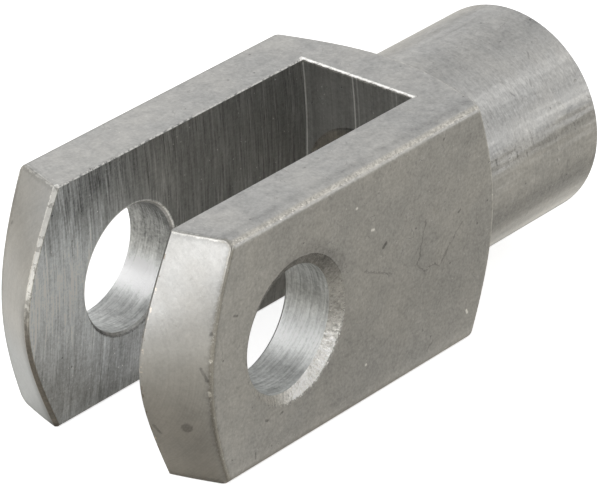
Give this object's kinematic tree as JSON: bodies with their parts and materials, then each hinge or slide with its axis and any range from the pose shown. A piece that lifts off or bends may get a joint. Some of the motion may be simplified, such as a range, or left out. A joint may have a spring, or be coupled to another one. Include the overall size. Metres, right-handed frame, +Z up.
{
  "type": "rod clevis",
  "caption": "Fork head for a cylinder rod, cut in one piece from square steel bar, with a pin bore across both ears and an internally threaded round neck.",
  "frame": {"origin": "the point where the pin bore's axis crosses the middle of the slot", "axes": "+X along the rod's axis towards the threaded neck, +Y along the pin's axis, +Z up as the fork lies on its lower flat side"},
  "size_m": [0.0417, 0.016, 0.016],
  "materials": {
    "plated_steel": "satin, zinc plated drawn steel with milling and turning marks"
  },
  "bodies": {
    "root": {"clevis": "plated_steel"}
  },
  "joints": []
}
